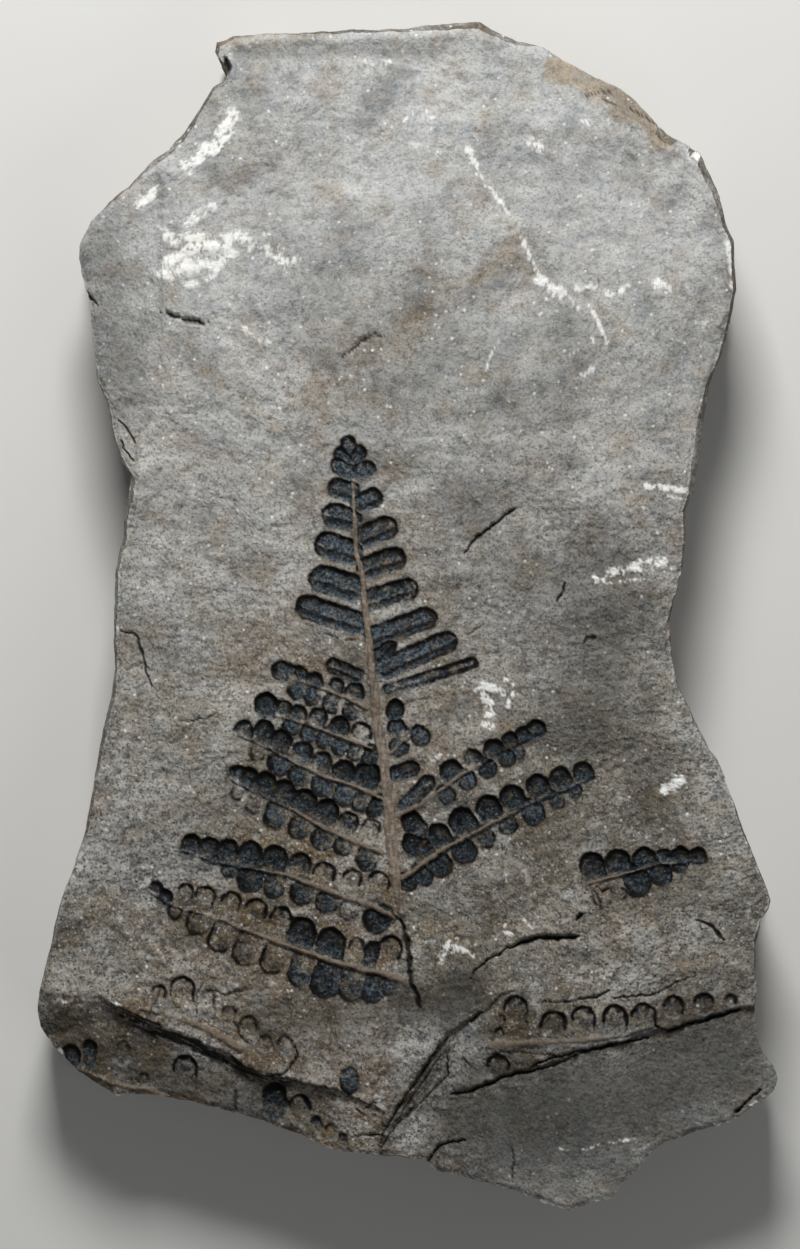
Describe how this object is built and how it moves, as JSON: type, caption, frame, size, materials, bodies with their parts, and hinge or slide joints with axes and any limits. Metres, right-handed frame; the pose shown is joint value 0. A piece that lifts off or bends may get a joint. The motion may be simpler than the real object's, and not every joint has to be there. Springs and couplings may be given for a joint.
{
  "type": "fossil fern plate",
  "caption": "Flat slab of grey shale, split along its bedding, with the dark sunken print of a fern frond and broken fern scraps on its upper face.",
  "frame": {"origin": "on the underside, under the middle of the slab's bounding box", "axes": "+Z out of the printed face, +Y along the slab's length towards the tip of the frond, +X across it to the right as the print is looked at"},
  "size_m": [0.0934, 0.1497, 0.018],
  "materials": {
    "shale": "matte"
  },
  "bodies": {
    "root": {"shale_plate": "shale"}
  },
  "joints": []
}
